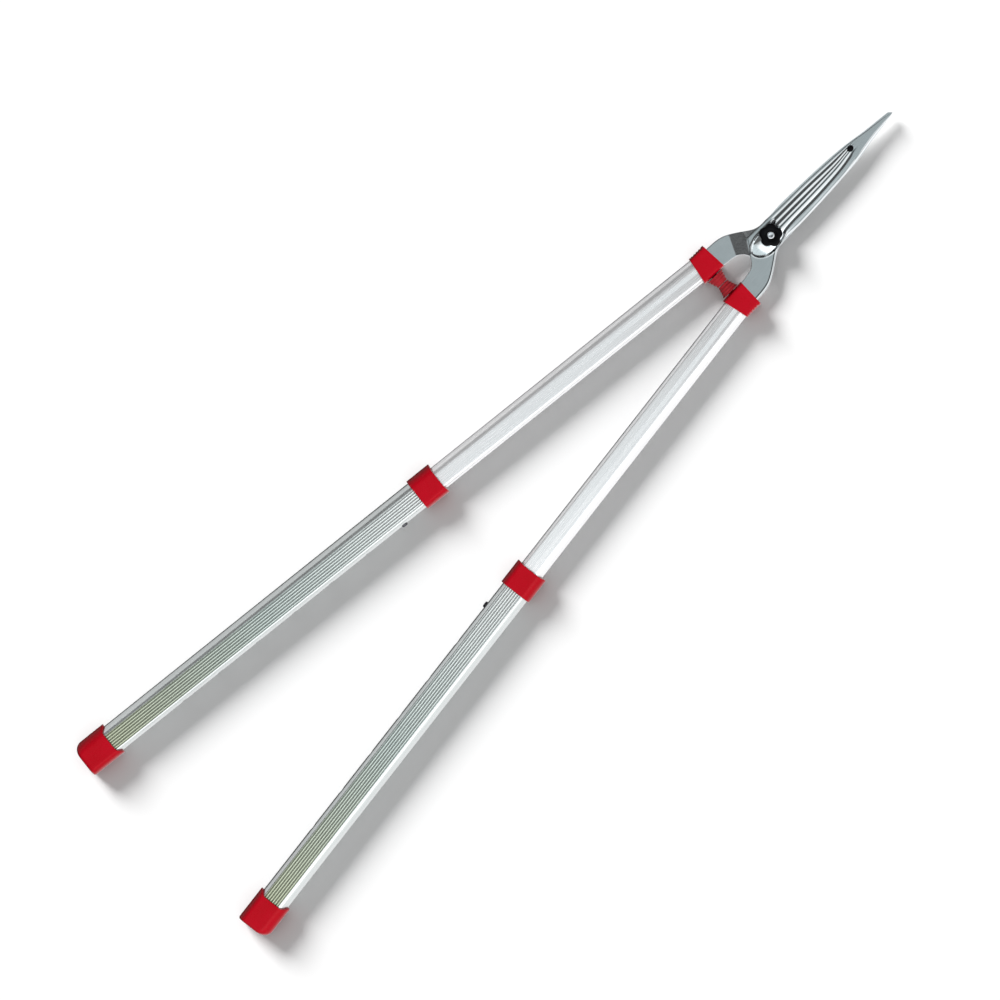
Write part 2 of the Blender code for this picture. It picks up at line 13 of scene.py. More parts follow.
import bmesh
import bpy
import numpy as np
from mathutils import Matrix, Vector

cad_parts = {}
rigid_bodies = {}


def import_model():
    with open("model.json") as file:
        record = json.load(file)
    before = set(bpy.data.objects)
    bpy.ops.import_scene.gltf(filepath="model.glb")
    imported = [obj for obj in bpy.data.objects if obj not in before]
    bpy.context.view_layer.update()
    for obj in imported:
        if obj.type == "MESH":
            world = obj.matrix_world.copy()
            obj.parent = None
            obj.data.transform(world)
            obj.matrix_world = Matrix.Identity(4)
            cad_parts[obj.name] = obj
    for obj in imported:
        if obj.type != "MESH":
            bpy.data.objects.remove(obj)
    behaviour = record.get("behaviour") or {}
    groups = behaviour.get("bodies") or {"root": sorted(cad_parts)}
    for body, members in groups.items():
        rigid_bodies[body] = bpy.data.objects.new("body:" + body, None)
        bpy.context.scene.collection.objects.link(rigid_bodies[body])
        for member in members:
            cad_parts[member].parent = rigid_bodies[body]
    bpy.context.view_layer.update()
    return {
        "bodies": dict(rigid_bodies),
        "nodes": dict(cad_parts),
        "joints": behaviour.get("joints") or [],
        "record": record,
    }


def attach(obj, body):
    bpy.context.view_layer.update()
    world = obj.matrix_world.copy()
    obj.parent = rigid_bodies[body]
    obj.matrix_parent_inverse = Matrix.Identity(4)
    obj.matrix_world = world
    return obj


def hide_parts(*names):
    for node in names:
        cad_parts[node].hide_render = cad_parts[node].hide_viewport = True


MM = 0.001
LOCAL = "local"                    # attribute with the coordinates a piece was drawn in

# Layout
AXIS_CROSS = 165.0                 # pivot to the point where the handle axes cross
SPREAD = math.radians(6.68)        # angle of each handle to the centre line

# Blades
PLATE = 3.0
BLADE_GAP = 0.3                    # between the flat faces of the two blades
JOGGLE_STEP = PLATE + BLADE_GAP    # brings the lower tang level with the upper one
LOWER_REACH = 2.0                  # the lower blade's edge lies this far beyond the upper's
BEVEL = 2.0                        # width of the ground bevel
BEVEL_DROP = 0.7                   # from the full thickness down to the bevel's start
EDGE_LAND = 0.35                   # thickness left at the cutting edge
HOLLOW = 0.09                      # slope of the hollow flat face beside the edge
HUB_TILT = 0.16                    # slope of the lower blade's hub towards its rim
PIVOT_HOLE = 6.0
SQUARE_HOLE = 4.3                  # half the width of the square hole in the lower blade
PLUG_AT = (125.6, 4.8)
PLUG_HALF = (4.0, 3.5)
PLUG_LIP = 0.7                     # the plug's head reaches this far past its hole

# Sections: width, height, flat zone, shift of the flat zone to the inner side
OUTER_TUBE = (32.0, 21.0, 18.6, 1.8)
INNER_TUBE = (27.0, 16.0, 14.0, 2.4)
COLLAR = (37.0, 26.5, 20.0, 2.1)
CAP = (37.8, 27.0, 20.0, 2.1)
OUTER_WALL = 1.4
INNER_WALL = 1.2
PLAY = 0.3                         # between a tube and the moulding round it
GROOVES = 7
GROOVE_PITCH = 2.84
GROOVE_WIDTH = 1.5
GROOVE_DEPTH = 0.6

# Stations along the handle
FERRULE_FRONT, FERRULE_REAR = 225.0, 249.0
TANG_SHOULDER = 232.0
INNER_FRONT, INNER_REAR = 232.3, 738.0
PIN_AT = 240.0
PIN_RADIUS = 2.3
COLLAR_FRONT, COLLAR_REAR = 602.3, 630.5
OUTER_FRONT, OUTER_REAR = 607.0, 1080.0
BUTTON_AT = 660.3
BUTTON_HOLE = 4.1
LOCK_PITCH = 50.0
LOCK_COUNT = 7
GUIDE_FRONT, GUIDE_REAR = 722.0, 743.3
CAP_MOUTH, CAP_END = 1050.0, 1085.0
BUMPER_AT = 72.2                   # from the pivot, on the centre line


# ---------------------------------------------------------------- curves and meshes

def smooth_curve(points, steps=12):
    """Catmull-Rom curve through flat points, both ends included."""
    p = np.asarray(points, float)
    p = np.vstack([p[:1], p, p[-1:]])
    t = np.linspace(0, 1, steps, endpoint=False)[:, None]
    parts = []
    for k in range(1, len(p) - 2):
        a, b, c, d = p[k - 1:k + 3]
        parts.append(0.5 * (2 * b + (c - a) * t + (2 * a - 5 * b + 4 * c - d) * t ** 2
                            + (3 * b - a - 3 * c + d) * t ** 3))
    return np.vstack(parts + [p[-1:]])


def rounded(corners, radius, closed=False, steps=4, measure=None):
    """Path through the corners with each corner rounded off.

    radius is one number or one per corner. measure picks the columns that lengths
    are taken in, for corners with more than two values.
    """
    c = np.asarray(corners, float)
    radii = [radius] * len(c) if np.isscalar(radius) else radius
    m = c if measure is None else measure(c)
    path = []
    for i, r in enumerate(radii):
        inner = closed or 0 < i < len(c) - 1
        before, after = (i - 1) % len(c), (i + 1) % len(c)
        if not inner or r <= 0:
            path.append(c[i])
            continue
        back = min(0.45, r / max(1e-9, np.linalg.norm(m[before] - m[i])))
        on = min(0.45, r / max(1e-9, np.linalg.norm(m[after] - m[i])))
        start = c[i] + (c[before] - c[i]) * back
        end = c[i] + (c[after] - c[i]) * on
        for t in np.linspace(0, 1, steps + 1):
            path.append((1 - t) ** 2 * start + 2 * t * (1 - t) * c[i] + t * t * end)
    return np.array(path)


def loft(rings, joined=False):
    """Closed body through rings of points, in millimetres; joined rings go round."""
    rings = np.asarray(rings, float) * MM
    count, size, _ = rings.shape
    index = np.arange(count * size).reshape(count, size)
    first = index if joined else index[:-1]
    second = np.roll(index, -1, 0) if joined else index[1:]
    quads = np.stack([first, np.roll(first, -1, 1), np.roll(second, -1, 1), second], -1)
    faces = quads.reshape(-1, 4).tolist()
    if not joined:
        faces += [index[0][::-1].tolist(), index[-1].tolist()]
    mesh = bpy.data.meshes.new("loft")
    mesh.from_pydata(rings.reshape(-1, 3).tolist(), [], faces)
    bm = bmesh.new()
    bm.from_mesh(mesh)
    bpy.data.meshes.remove(mesh)
    if bm.calc_volume(signed=True) < 0:
        bmesh.ops.reverse_faces(bm, faces=bm.faces)
    return bm


def turned(profile, steps=96, shape=None, joined=False):
    """Body turned about Z through (radius, height) stations.

    shape, where given, returns the radii round the ring at a station.
    """
    angle = np.linspace(0, 2 * math.pi, steps, endpoint=False)
    rings = []
    for number, (radius, height) in enumerate(profile):
        r = shape(number, radius, angle) if shape else np.full(steps, radius)
        rings.append(np.column_stack([r * np.cos(angle), r * np.sin(angle),
                                      np.full(steps, height)]))
    return loft(rings, joined)


def oval(width, height, flat, shift=0.0, grooved=False, steps=20):
    """Flat-sided oval as (across, up) points, one per row."""
    inner = width / 2 - shift - flat / 2
    outer = width / 2 + shift - flat / 2
    angle = np.linspace(0, math.pi / 2, steps + 1)
    upper = [np.column_stack([shift + flat / 2 + inner * np.cos(angle),
                              height / 2 * np.sin(angle)])]
    if grooved:
        reach = np.linspace(-0.5, 0.5, 9)
        for i in range(GROOVES):
            centre = shift + GROOVE_PITCH * ((GROOVES - 1) / 2 - i)
            depth = GROOVE_DEPTH * np.cos(math.pi * reach) ** 1.3
            upper.append(np.column_stack([centre - GROOVE_WIDTH * reach,
                                          height / 2 - depth]))
    else:
        across = np.linspace(shift + flat / 2, shift - flat / 2, 9)[1:-1]
        upper.append(np.column_stack([across, np.full(len(across), height / 2)]))
    angle = angle + math.pi / 2
    upper.append(np.column_stack([shift - flat / 2 + outer * np.cos(angle),
                                  height / 2 * np.sin(angle)]))
    upper = np.vstack(upper)
    lower = upper[-2:0:-1] * (1, -1)
    return np.vstack([upper, lower])


def shrunk(size, wall):
    """Section inside another one; a negative wall gives the section round it."""
    width, height, flat, shift = size
    return (width - 2 * wall, height - 2 * wall, flat, shift)


def station(section, s, slant=0.0, shift=0.0):
    """Ring of a section at distance s, in the handle frame."""
    y, z = section[:, 0], section[:, 1]
    return np.column_stack([-(s + slant * y), y + shift, z])


def corner_lengths(corners):
    """The columns of a sleeve's corners that its rounds are measured in."""
    return np.column_stack([corners[:, 0] / 2, corners[:, 1] / 2, corners[:, 4]])


def sleeve_rings(corners, radius, warp=None, closed=True, grooved=False, steps=4):
    """Rings along the handle. A corner is (width, height, flat, shift, s, slant, move)."""
    rings = []
    path = rounded(corners, radius, closed, steps, corner_lengths)
    for width, height, flat, shift, s, slant, move in path:
        ring = station(oval(width, height, flat, shift, grooved), s, slant, move)
        rings.append(warp(ring, width, s) if warp else ring)
    return rings


def sleeve(corners, radius, warp=None, grooved=False, steps=4):
    """Hollow body along the handle, through its corners and back to the first."""
    return loft(sleeve_rings(corners, radius, warp, True, grooved, steps), True)


def upright(outline, low, high):
    """Straight body with this flat outline between two heights."""
    return loft([[(x, y, z) for x, y in outline] for z in (low, high)])


def transformed(bm, matrix):
    bm.transform(matrix)
    return bm


def moved(x, y=0.0, z=0.0):
    """Translation by millimetres."""
    return Matrix.Translation((x * MM, y * MM, z * MM))


def rod(radius, start, end, steps=48):
    """Straight round body between two points, in millimetres."""
    start, end = Vector(start), Vector(end)
    bm = turned([(radius, 0), (radius, (end - start).length)], steps)
    turn = (end - start).to_track_quat("Z", "Y").to_matrix().to_4x4()
    return transformed(bm, Matrix.Translation(start * MM) @ turn)


# -------------------------------------------------------------------------- objects

class Studio:
    """Where the pieces go: the frames of both halves and the materials."""

    def __init__(self, frame):
        joints = {joint["name"]: joint for joint in frame["joints"]}
        pivot = Matrix.Translation(Vector(joints["blade_pivot"]["pos_m"]))
        turn = Matrix.Rotation(math.pi, 4, "X")
        to_axis = moved(AXIS_CROSS) @ Matrix.Rotation(SPREAD, 4, "Z")
        self.side = {1: pivot @ turn, 2: pivot}
        self.axis = {k: self.side[k] @ to_axis for k in (1, 2)}
        self.materials = {}

    def piece(self, name, bm, place, body, nodes, slot, holes=(), smooth=38, look=None):
        """One shown piece that stands for CAD nodes and rides on a body.

        It has the material of its slot unless look names another one.
        """
        mesh = bpy.data.meshes.new(name)
        bm.to_mesh(mesh)
        bm.free()
        obj = bpy.data.objects.new(name, mesh)
        bpy.context.scene.collection.objects.link(obj)
        drill(obj, holes)
        mark_local(obj.data)
        obj.data.transform(place)
        obj.data.shade_smooth()
        obj.data.set_sharp_from_angle(angle=math.radians(smooth))
        obj.data.materials.append(self.materials[look or slot])
        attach(obj, body)
        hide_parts(*nodes)
        return obj


def mark_local(mesh):
    """Keep the coordinates that the piece was drawn in, for its material."""
    places = np.zeros(len(mesh.vertices) * 3, np.float32)
    mesh.vertices.foreach_get("co", places)
    mesh.attributes.new(LOCAL, "FLOAT_VECTOR", "POINT").data.foreach_set("vector", places)


def drill(obj, holes):
    """Take closed bodies out of the object's mesh."""
    for bm in holes:
        mesh = bpy.data.meshes.new("hole")
        bm.to_mesh(mesh)
        bm.free()
        cutter = bpy.data.objects.new("hole", mesh)
        bpy.context.scene.collection.objects.link(cutter)
        modifier = obj.modifiers.new("hole", "BOOLEAN")
        modifier.operation = "DIFFERENCE"
        modifier.solver = "EXACT"
        modifier.object = cutter
        graph = bpy.context.evaluated_depsgraph_get()
        result = bpy.data.meshes.new_from_object(obj.evaluated_get(graph))
        obj.modifiers.clear()
        obj.data = result
        bpy.data.objects.remove(cutter)


# --------------------------------------------------------------------------- blades

SPINE = smooth_curve([(184.5, 0.3), (169.3, 3.1), (149, 5.8), (125.7, 9.6), (96, 11.7),
                      (64, 13.3), (32, 13.8), (-10.7, 15.2), (-19.2, 15.0)])
THROAT = smooth_curve([(-19.2, 15.0), (-24.5, 7.2), (-30.7, 0.2), (-34.1, -5.3),
                       (-39.4, -9.6), (-46.6, -11.6), (-57.7, -13.1)])
EDGE = smooth_curve([(7.6, -13.6), (15, -13.3), (32, -14.1), (64, -13.2), (96, -11.7),
                     (122.5, -9.3), (149, -5.3), (169.3, -2.9), (182.6, -1.1), (184.5, 0.2)])
FLARE = smooth_curve([(-57.7, -38.4), (-45.7, -37.5), (-36.8, -35.4), (-28, -30.9),
                      (-19.1, -25.1), (-10.2, -19), (-1.4, -14.9), (7.6, -13.6)])
CHANNEL = smooth_curve([(130.3, 5.0), (128.7, 7.8), (125, 8.9), (118, 8.4), (96, 8.2),
                        (64, 9.1), (32, 9.6), (16, 9.6), (-8.5, 9.6), (-16, 8.5),
                        (-23.4, 5.3), (-27.2, 0), (-25.2, -6.4), (-19.2, -11.3),
                        (-10.7, -13.6), (0, -13.2), (7.5, -11.3), (13.8, -8.5),
                        (20, -6.4), (32, -5.9), (64, -5.3), (96, -3.2), (118, 0.7),
                        (124, 1.4), (128.7, 2.3), (130.3, 5.0)], 8)
# Crests and valleys of the pressed waves, from the spine side to the edge side: the
# height of each, and its y at each of WAVE_X along the blade
WAVE_X = (10, 27, 63, 99, 118, 126, 134)
WAVES = ((-0.45, (10.6, 10.4, 9.9, 8.5, 8.3, 8.2, 8.0)),
         (0.00, (7.1, 7.0, 6.9, 5.9, 6.5, 7.0, 7.0)),
         (-0.60, (5.1, 5.0, 4.5, 4.2, 5.2, 6.0, 6.0)),
         (-0.10, (1.7, 1.8, 2.1, 2.6, 4.1, 4.9, 4.9)),
         (-0.45, (0.0, 0.1, 0.2, 1.3, 3.1, 4.0, 4.0)),
         (-0.33, (-2.2, -2.0, -1.7, -0.5, 1.8, 3.0, 3.0)),
         (-1.00, (-6.4, -4.9, -4.6, -3.0, -0.4, 1.4, 1.4)),
         (-0.45, (-9.6, -7.8, -7.7, -5.6, -3.2, -1.0, -0.8)))
WAVE_STRENGTH = (1.0, 1.0, 1.0, 0.8, 0.55, 0.2, 0.0)
RIM_DROP = 0.15                    # the strip along the spine lies this much down
RIM_WIDTH = 1.7
TIP_DROP = 0.3                     # the plain tip lies this much down
TANG_DROP = 0.25                   # the tang lies this much below the rim of the dish
DISH_DEPTH = 2.2
BOSS_DEPTH = 1.0                   # the seat of the washer, inside the dish
DISH_END = (8, 17)                 # the dish gives way to the waves between these x
GROUND_FROM = (9, 16)              # the bevel begins between these x
# The joggle's bend lines, each a point and a direction
FIRST_BEND = np.array(((-29.8, -33.9), (-11.0, 23.0)))
SECOND_BEND = np.array(((-31.0, 0.5), (11.5, -17.5)))
BEND_SOFTNESS = 0.025              # share of the way between them that each bend takes
HUB_LEVEL_TO = -14.6               # the lower blade's hub is tilted beyond this y
# Points across a blade, from its spine, its edge and the rims of its flat face. They lie
# close together where the face is rounded.
FULL_WIDTH = 9.0                   # where a blade is narrower, its rounds shrink with it
SPINE_ROUND = 0.55
TANG_ROUND = 2.4                   # on the edge side, where the tang isn't ground
FLAT_ROUND = 0.5                   # on both rims of the flat face
FROM_SPINE = np.array((0, 0.05, 0.12, 0.24, 0.38, 0.55, 1.0))
FROM_EDGE = np.array((3.4, 2.8, 2.3, 2.1, 2.0, 1.9, 1.6, 1.3, 1.0, 0.7, 0.45, 0.22, 0.08,
                      0.0))
FROM_RIM = np.array((0, 0.12, 0.5, 1.2))


def distance(points, line):
    """Distance of each flat point to a polyline."""
    best = np.full(len(points), 1e9)
    for a, b in zip(line, line[1:]):
        way = b - a
        t = np.clip((points - a) @ way / (way @ way), 0, 1)
        near = a + t[:, None] * way
        best = np.minimum(best, np.linalg.norm(points - near, axis=1))
    return best


def inside(points, outline):
    """True for each flat point in a closed outline."""
    result = np.zeros(len(points), bool)
    x, y = points[:, 0], points[:, 1]
    for (x0, y0), (x1, y1) in zip(outline, outline[1:]):
        if y0 == y1:
            continue
        crosses = (y0 > y) != (y1 > y)
        result ^= crosses & (x < x0 + (y - y0) * (x1 - x0) / (y1 - y0))
    return result


def ease(x, low, high):
    """Smooth step from 0 at low to 1 at high."""
    t = np.clip((x - low) / (high - low), 0, 1)
    return t * t * (3 - 2 * t)


def waved(points):
    """Height of the waves pressed along the blade."""
    x, y = points[:, 0], points[:, 1]
    spine = across_line([SPINE, THROAT], x)
    edge = across_line([EDGE, FLARE], x)
    lines = [smooth_curve(list(zip(WAVE_X, ys))) for _, ys in WAVES]
    strength = np.interp(x, WAVE_X, WAVE_STRENGTH)
    turns = [(spine, -RIM_DROP), (spine - RIM_WIDTH, -RIM_DROP)]
    turns += [(np.interp(x, line[:, 0], line[:, 1]), height)
              for (height, _), line in zip(WAVES, lines)]
    turns += [(edge + BEVEL, -BEVEL_DROP), (edge, -BEVEL_DROP)]
    height = np.full(len(x), -RIM_DROP)
    for (y0, h0), (y1, h1) in zip(turns, turns[1:]):
        t = np.clip((y0 - y) / np.maximum(y0 - y1, 0.05), 0, 1)
        height = np.where(y < y0, h0 + (h1 - h0) * (0.5 - 0.5 * np.cos(math.pi * t)), height)
    return height * strength - TIP_DROP * (1 - strength)


def dished(points):
    """Height of the tang with the dish round the bolt."""
    depth = distance(points, CHANNEL) * np.where(inside(points, CHANNEL), 1, -1)
    radius = np.hypot(points[:, 0], points[:, 1])
    rise = np.minimum(ease(depth, 0.8, 6.5), 1 - ease(radius, 10.0, 21.5))
    return (-TANG_DROP * (1 - ease(depth, -2.4, -0.8)) - DISH_DEPTH * ease(depth, -0.9, 0.8)
            + (DISH_DEPTH - BOSS_DEPTH) * rise)


def relief(points):
    """Height of the pressed face against the plate's full thickness."""
    share = ease(points[:, 0], *DISH_END)
    return (1 - share) * dished(points) + share * waved(points)


def joggle(points, step):
    """Height that the tang has come down by, between two bend lines."""
    gaps = []
    for start, way in (FIRST_BEND, SECOND_BEND):
        normal = np.array((way[1], -way[0])) / np.linalg.norm(way)
        gaps.append((points - start) @ normal)
    from_first, to_second = gaps
    t = from_first / np.maximum(from_first + to_second, 1.0)
    past = -3
    t = np.where(from_first < past, -1.0, np.where(to_second < past, 2.0, t))
    soft = BEND_SOFTNESS
    ramp = (np.logaddexp(0, t / soft) - np.logaddexp(0, (t - 1) / soft)) * soft
    drop = step * (1 - ramp)
    if step:
        hub = ease(-to_second, -6, 3) * (1 - ease(points[:, 0], 4, 12))
        drop -= HUB_TILT * hub * np.maximum(0, HUB_LEVEL_TO - points[:, 1])
    return drop


def across_line(curves, x):
    """y of a set of curves, each a function of x, at one x."""
    line = np.vstack(curves)
    order = np.argsort(line[:, 0], kind="stable")
    return np.interp(x, line[order, 0], line[order, 1])


def on_handle(s, inward):
    """Point of the side frame at a handle station, inward of the handle's axis."""
    x = AXIS_CROSS - s * math.cos(SPREAD) - inward * math.sin(SPREAD)
    return np.array((x, -s * math.sin(SPREAD) + inward * math.cos(SPREAD)))


def rounded_off(reach, radius):
    """How far a rounded edge lies below the face; it is flatter than a true round."""
    t = np.clip(1 - reach / radius, 0, 1)
    return 0.55 * radius * (1 - np.sqrt(1 - 0.98 * t * t))


def blade_ends(extra):
    """Spine-side and edge-side points of each section of a blade and its tang."""
    tip, root = SPINE[0, 0], THROAT[-1, 0]
    xs = np.concatenate([np.linspace(tip, 181, 22), np.arange(180.5, -57.5, -0.5), [root]])
    high = across_line([SPINE, THROAT], xs)
    low = across_line([EDGE, FLARE], xs)
    low = low - extra * np.clip((xs + 8) / 16, 0, 1) * ease(-xs, -tip, -181)
    ends = [(np.array((x, h)), np.array((x, l))) for x, h, l in zip(xs, high, low)]
    ends += [(on_handle(s, a), on_handle(s, -b)) for s, a, b in
             ((228, 12.4, 11.4), (231.6, 12.4, 11.2), (TANG_SHOULDER, 9.5, 9.5),
              (250, 9.5, 9.5), (299, 9.5, 9.5), (300, 8.6, 8.6))]
    return ends


def pressed_face(top, bottom, width, fit):
    """Points of one section's pressed face, from the spine to the edge."""
    middle = np.linspace(FROM_SPINE[-1] * fit, width - FROM_EDGE[0] * fit, 80)[1:-1]
    reach = np.concatenate([FROM_SPINE * fit, middle, width - FROM_EDGE * fit])
    flat = top + reach[:, None] * (bottom - top) / width
    left = width - reach
    height = PLATE + relief(flat) - rounded_off(reach, SPINE_ROUND * fit)
    lipped = height - rounded_off(left, TANG_ROUND * fit)
    lipped -= 0.2 * ease(left, 2.2 * fit, 3.4 * fit) * (1 - ease(flat[:, 0], 0, 10))
    slope = EDGE_LAND + (PLATE - BEVEL_DROP - EDGE_LAND) * left / (BEVEL * fit)
    ground = ease(flat[:, 0], *GROUND_FROM)
    height = (1 - ground) * lipped + ground * np.minimum(height, slope)
    return np.column_stack([flat, height])


def flat_face(top, bottom, width, fit):
    """Points of one section's flat face, from the edge back to the spine."""
    rim = FROM_RIM * fit
    middle = np.linspace(rim[-1], width - rim[-1], 25)[1:-1]
    reach = np.concatenate([rim, middle, width - rim[::-1]])[::-1]
    flat = top + reach[:, None] * (bottom - top) / width
    left = width - reach
    ground = ease(top[0], *GROUND_FROM)
    rims = rounded_off(reach, FLAT_ROUND * fit)
    rims += rounded_off(left, FLAT_ROUND * fit) * (1 - ground)
    hollow = HOLLOW * ground * fit * left * (1 - ease(left, 2.5 * fit, 9 * fit))
    return np.column_stack([flat, 0.6 * rims + hollow])


def blade(extra, step):
    """Blade with its tang, flat face down at z = 0."""
    rings = []
    for top, bottom in blade_ends(extra):
        width = np.linalg.norm(top - bottom)
        fit = min(1.0, width / FULL_WIDTH)
        ring = np.vstack([face(top, bottom, width, fit) for face in (pressed_face, flat_face)])
        ring[:, 2] -= joggle(ring[:, :2], step)
        rings.append(ring)
    return loft(rings)


def plug():
    """Plug with an oval head, standing up through the blade."""
    half = PLUG_HALF[0]
    profile = rounded([(0.0, 0.3), (half - 1.0, 0.3), (half - 1.0, 2.15), (half, 2.15),
                       (half, 2.75), (0.0, 3.0)], (0, 0.2, 0.1, 0.1, 0.45, 0))
    profile[0, 0] = profile[-1, 0] = 0.02
    squeeze = Matrix.Diagonal((1, PLUG_HALF[1] / half, 1, 1))
    return transformed(turned(profile, 64), squeeze)


def blade_holes(square):
    """Bodies of the holes for the pivot, the plug and the tang's pin."""
    under, over = -1, PLATE + 1
    if square:
        pivot = upright([(x * SQUARE_HOLE, y * SQUARE_HOLE)
                         for x, y in ((1, 1), (-1, 1), (-1, -1), (1, -1))], under, over)
    else:
        pivot = rod(PIVOT_HOLE, (0, 0, under), (0, 0, over), 96)
    angles = np.linspace(0, 2 * math.pi, 48, endpoint=False)
    stem = np.column_stack([PLUG_AT[0] + (PLUG_HALF[0] - PLUG_LIP) * np.cos(angles),
                            PLUG_AT[1] + (PLUG_HALF[1] - PLUG_LIP) * np.sin(angles)])
    pin = on_handle(PIN_AT, 0)
    return [pivot, upright(stem, under, over), rod(PIN_RADIUS, (*pin, -6), (*pin, over))]


def blades(studio):
    for number, name, body, level, extra, step in (
            (2, "upper_blade", "upper_half", -PLATE / 2, 0.0, 0.0),
            (1, "lower_blade", "lower_half", PLATE / 2 + BLADE_GAP, LOWER_REACH,
             JOGGLE_STEP)):
        place = studio.side[number] @ moved(0, 0, level)
        studio.piece(name + "_fine", blade(extra, step), place, body, [name],
                     "blade_steel", blade_holes(square=number == 1), 32)
        studio.piece(name + "_plug_fine", plug(), place @ moved(*PLUG_AT), body,
                     [name + "_plug"], "black_plastic")


# ---------------------------------------------------------------------- pivot stack

def pivot_bolt():
    """Bolt with a domed head below and a square neck in the lower blade."""
    neck_radius = 4.0
    neck = (-3.61, -1.99)
    head = [(0.02, -6.95), (3.6, -6.85), (6.2, -6.3), (8.0, -4.9), (8.0, -3.6)]
    shank = [(3.9, -1.9), (3.9, 13.4), (2.4, 13.4), (0.02, 13.15)]
    profile = np.vstack([rounded(head, (0, 2, 2, 0.8, 0)),
                         [(neck_radius, -3.6), (neck_radius, -2.0), (3.9, -1.99)],
                         rounded(shank, (0, 0.7, 0.3, 0))])

    def square(number, radius, angle):
        if not neck[0] <= profile[number][1] <= neck[1] or radius > neck_radius + 0.01:
            return np.full(len(angle), radius)
        full = radius / np.maximum(np.abs(np.cos(angle)), np.abs(np.sin(angle)))
        return np.minimum(full, radius * 1.33)
    return turned(profile, 96, square)


def star_knob():
    """Knob with five lobes and a recess below for the washers."""
    lobes, notch = 5, 1.9
    outside = [(4.2, 12.3), (6.1, 12.3), (7.0, 13.0), (11.6, 13.0), (12.8, 11.2),
               (12.8, 5.6), (11.0, 4.1), (5.8, 4.1), (5.8, 10.8), (4.2, 10.8)]
    profile = rounded(outside, (0.3, 0.5, 0.5, 1.6, 1.2, 0.8, 0.6, 0.4, 0, 0), closed=True,
                      steps=6)

    def lobed(number, radius, angle):
        share = np.clip((radius - 6.4) / 5.2, 0, 1)
        wave_in = (0.5 - 0.5 * np.cos(lobes * (angle - math.radians(44)))) ** 2
        return radius - notch * share * wave_in
    return turned(profile, 200, lobed, joined=True)


def pivot_stack(studio):
    place = studio.side[2]
    studio.piece("pivot_bolt_fine", pivot_bolt(), place, "lower_half", ["pivot_bolt"],
                 "pivot_steel", smooth=50)
    washer = rounded([(9.5, 0.9), (9.5, 2.1), (4.2, 2.1), (4.2, 0.9)], 0.25, closed=True)
    studio.piece("flat_washer_fine", turned(washer, 96, joined=True), place, "lower_half",
                 ["flat_washer"], "pivot_steel")
    wave = rounded([(7.5, 2.65), (7.5, 3.35), (4.5, 3.35), (4.5, 2.65)], 0.2, closed=True)
    bm = turned(wave, 96, joined=True)
    for vert in bm.verts:
        vert.co.z += 0.25 * MM * math.cos(3 * math.atan2(vert.co.y, vert.co.x))
    studio.piece("wave_washer_fine", bm, place, "lower_half", ["wave_washer"],
                 "spring_steel")
    studio.piece("star_knob_fine", star_knob(), place, "tension_knob", ["star_knob"],
                 "black_plastic")


# --------------------------------------------------------------------------- handle

def ferrule():
    """Ferrule with slanted ends and ribs on the side that faces away from the gap."""
    front = (31.6, 20.6, 25.6, 0.0)
    rear = (31.6, 21.6, 25.6, 0.0)
    bore = shrunk(INNER_TUBE, -PLAY)
    slot = (25.7, 3.6, 25.0, 0.0)
    front_slant, rear_slant = -0.158, 0.092
    rib_pitch, rib_depth = 4.3, 0.75
    first = np.array((*front, FERRULE_FRONT, front_slant, -1.9))
    last = np.array((*rear, FERRULE_REAR, rear_slant, 0.4))
    along = np.linspace(0, 1, 61)[1:-1]
    corners = [tuple(first + (last - first) * t) for t in (0, *along, 1)]
    corners += [(*bore, FERRULE_REAR, rear_slant, 0), (*bore, TANG_SHOULDER, 0, 0),
                (*slot, TANG_SHOULDER, 0, 0.35), (*slot, FERRULE_FRONT, front_slant, 0.35)]
    radii = [1.6] + [0] * len(along) + [1.3, 0.4, 0, 0, 0.3]

    def ribs(ring, width, s):
        if width < 29:
            return ring
        share = np.clip((-ring[:, 1] - 11.5) / 4, 0, 1)
        wave = 0.5 + 0.5 * math.cos(2 * math.pi * (s - 227.5) / rib_pitch)
        fade = ease(s, 225.8, 227.5) * (1 - ease(s, 245.5, 247.5))
        ring[:, 1] += rib_depth * share * (1 - wave) * fade
        return ring
    return sleeve(corners, radii, ribs)


def bumper():
    """Ringed stop that stands out from its ferrule towards the other one."""
    profile = [(3.4, 13.6), (3.4, 11.8), (10.2, 11.8), (10.2, 10.5), (8.9, 9.6), (9.3, 7.9),
               (8.0, 6.6), (8.2, 4.6), (6.9, 3.2), (6.9, 0.4), (0.02, 0.15)]
    radii = (0, 0.2, 0.5, 0.6, 0.5, 0.6, 0.5, 0.6, 0.5, 0.8, 0)
    bm = turned(rounded([(r, -y) for r, y in profile], radii), 96)
    flatten = Matrix.Diagonal((1, 0.86, 1, 1))
    return transformed(bm, Matrix.Rotation(-math.pi / 2, 4, "X") @ flatten)


def eared(ear, start, end):
    """Warp that pulls the narrow sides of a mouth towards the blades."""
    def warp(ring, width, s):
        share = np.clip((np.abs(ring[:, 1]) / (width / 2) - 0.5) / 0.5, 0, 1)
        fade = 1 - ease(s, start, end)
        ring[:, 0] += ear * share ** 2 * fade
        return ring
    return warp


def collar():
    mouth = shrunk(INNER_TUBE, -PLAY)
    bore = shrunk(OUTER_TUBE, -PLAY)
    seat = OUTER_FRONT - PLAY
    stations = (COLLAR_FRONT, 604.5, 607, 610, 614, 620, 626, COLLAR_REAR)
    corners = [(*COLLAR, s, 0, 0) for s in stations]
    corners += [(*bore, COLLAR_REAR, 0, 0), (*bore, seat, 0, 0), (*mouth, seat, 0, 0),
                (*mouth, COLLAR_FRONT + 0.4, 0, 0)]
    radii = [1.5, 0, 0, 0, 0, 0, 0, 1.0, 0.3, 0, 0, 0.8]
    return sleeve(corners, radii, eared(1.7, 604, 616))


